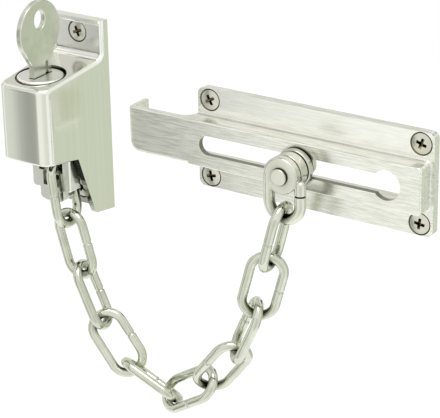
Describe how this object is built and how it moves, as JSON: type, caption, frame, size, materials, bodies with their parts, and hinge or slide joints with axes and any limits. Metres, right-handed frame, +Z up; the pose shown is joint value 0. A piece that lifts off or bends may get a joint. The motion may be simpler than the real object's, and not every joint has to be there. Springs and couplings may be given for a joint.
{
  "type": "door chain",
  "caption": "Keyed door chain: a slotted track with a sliding stud and eye, a chain of round-wire links and a wall housing whose key lock holds the chain's end block.",
  "frame": {"origin": "centre of the track plate's four screws, in the plane of its back face, which is the wall's plane", "axes": "+X along the track from the housing, -Y out of the wall towards the viewer, +Z up"},
  "size_m": [0.1465, 0.0379, 0.138],
  "materials": {
    "track_metal": "satin nickel, brushed along its length",
    "screws": "bright nickel with a warm tint in the recess",
    "slider_metal": "polished nickel",
    "eye_metal": "satin nickel",
    "chain_metal": "polished nickel",
    "housing_metal": "satin nickel",
    "lock_metal": "satin nickel",
    "lock_brass": "bare brass",
    "key_metal": "satin nickel",
    "block_metal": "satin nickel"
  },
  "bodies": {
    "root": {"track": "track_metal", "track_screws": "screws", "lock_housing": "housing_metal", "housing_screws": "screws", "lock_barrel": "lock_brass"},
    "slider": {"slider_stud": "slider_metal", "slider_spool": "slider_metal"},
    "eye": {"eye": "eye_metal"},
    "link_1": {"link_1": "chain_metal"},
    "link_2": {"link_2": "chain_metal"},
    "link_3": {"link_3": "chain_metal"},
    "link_4": {"link_4": "chain_metal"},
    "link_5": {"link_5": "chain_metal"},
    "link_6": {"link_6": "chain_metal"},
    "link_7": {"link_7": "chain_metal"},
    "link_8": {"link_8": "chain_metal"},
    "link_9": {"link_9": "chain_metal"},
    "link_10": {"link_10": "chain_metal"},
    "end_block": {"end_block": "block_metal", "block_pin": "slider_metal"},
    "lock_plug": {"lock_plug": "lock_metal", "lock_wafers": "lock_brass", "lock_cam": "lock_brass", "cam_screw": "screws"},
    "key": {"key": "key_metal"}
  },
  "joints": [
    {"name": "slider_slide", "type": "slide", "parent": "root", "child": "slider", "axis": [1, 0, 0], "range_m": [-0.0335, 0.0315]},
    {"name": "eye_swivel", "type": "hinge", "parent": "slider", "child": "eye", "pos_m": [-0.0016, -0.0185, 0], "axis": [0, -1, 0], "range_deg": [-10.9, 11.6]},
    {"name": "link_10_swing", "type": "hinge", "parent": "eye", "child": "link_10", "pos_m": [-0.0016, -0.0185, -0.0125], "axis": [0, -1, 0], "range_deg": [-6.1, 6.5]},
    {"name": "link_9_swing", "type": "hinge", "parent": "link_10", "child": "link_9", "pos_m": [-0.00647, -0.01842, -0.03067], "axis": [0, -1, 0], "range_deg": [-1.4, 1.3]},
    {"name": "link_8_swing", "type": "hinge", "parent": "link_9", "child": "link_8", "pos_m": [-0.01167, -0.01825, -0.04882], "axis": [0, -1, 0], "range_deg": [-6, 5.7]},
    {"name": "link_7_swing", "type": "hinge", "parent": "link_8", "child": "link_7", "pos_m": [-0.01959, -0.01808, -0.0658], "axis": [0, -1, 0], "range_deg": [-4.5, 4.3]},
    {"name": "link_6_swing", "type": "hinge", "parent": "link_7", "child": "link_6", "pos_m": [-0.03105, -0.01792, -0.08046], "axis": [0, -1, 0], "range_deg": [-3.8, 3.5]},
    {"name": "link_5_swing", "type": "hinge", "parent": "link_6", "child": "link_5", "pos_m": [-0.04641, -0.01775, -0.09006], "axis": [0, -1, 0], "range_deg": [-6.1, 5.7]},
    {"name": "link_4_swing", "type": "hinge", "parent": "link_5", "child": "link_4", "pos_m": [-0.0631, -0.01758, -0.08332], "axis": [0, -1, 0], "range_deg": [-5.5, 5.2]},
    {"name": "link_3_swing", "type": "hinge", "parent": "link_4", "child": "link_3", "pos_m": [-0.07473, -0.01742, -0.06895], "axis": [0, -1, 0], "range_deg": [-6.5, 6.2]},
    {"name": "link_2_swing", "type": "hinge", "parent": "link_3", "child": "link_2", "pos_m": [-0.08264, -0.01725, -0.05198], "axis": [0, -1, 0], "range_deg": [-9.4, 8.8]},
    {"name": "link_1_swing", "type": "hinge", "parent": "link_2", "child": "link_1", "pos_m": [-0.08783, -0.01708, -0.03391], "axis": [0, -1, 0], "range_deg": [-18.3, 19.5]},
    {"name": "plug_turn", "type": "hinge", "parent": "root", "child": "lock_plug", "pos_m": [-0.09221, -0.0224, 0], "axis": [0, 0, 1], "range_deg": [0, 90]},
    {"name": "block_drop", "type": "slide", "parent": "root", "child": "end_block", "axis": [0, 0, -1], "range_m": [0, 0.0022]},
    {"name": "key_slide", "type": "slide", "parent": "lock_plug", "child": "key", "axis": [0, 0, 1], "range_m": [0, 0.016]}
  ],
  "couplings": [
    {"joint": "eye_swivel", "follows": "slider_slide", "rad_per_m": -5.8992},
    {"joint": "link_10_swing", "follows": "slider_slide", "rad_per_m": -3.2289},
    {"joint": "link_9_swing", "follows": "slider_slide", "rad_per_m": 0.5585},
    {"joint": "link_8_swing", "follows": "slider_slide", "rad_per_m": 2.9671},
    {"joint": "link_7_swing", "follows": "slider_slide", "rad_per_m": 2.1991},
    {"joint": "link_6_swing", "follows": "slider_slide", "rad_per_m": 1.7977},
    {"joint": "link_5_swing", "follows": "slider_slide", "rad_per_m": 3.0194},
    {"joint": "link_4_swing", "follows": "slider_slide", "rad_per_m": 2.7053},
    {"joint": "link_3_swing", "follows": "slider_slide", "rad_per_m": 3.2463},
    {"joint": "link_2_swing", "follows": "slider_slide", "rad_per_m": 4.7298},
    {"joint": "link_1_swing", "follows": "slider_slide", "rad_per_m": -10.001},
    {"joint": "block_drop", "follows": "plug_turn", "m_per_rad": 0.0014}
  ]
}
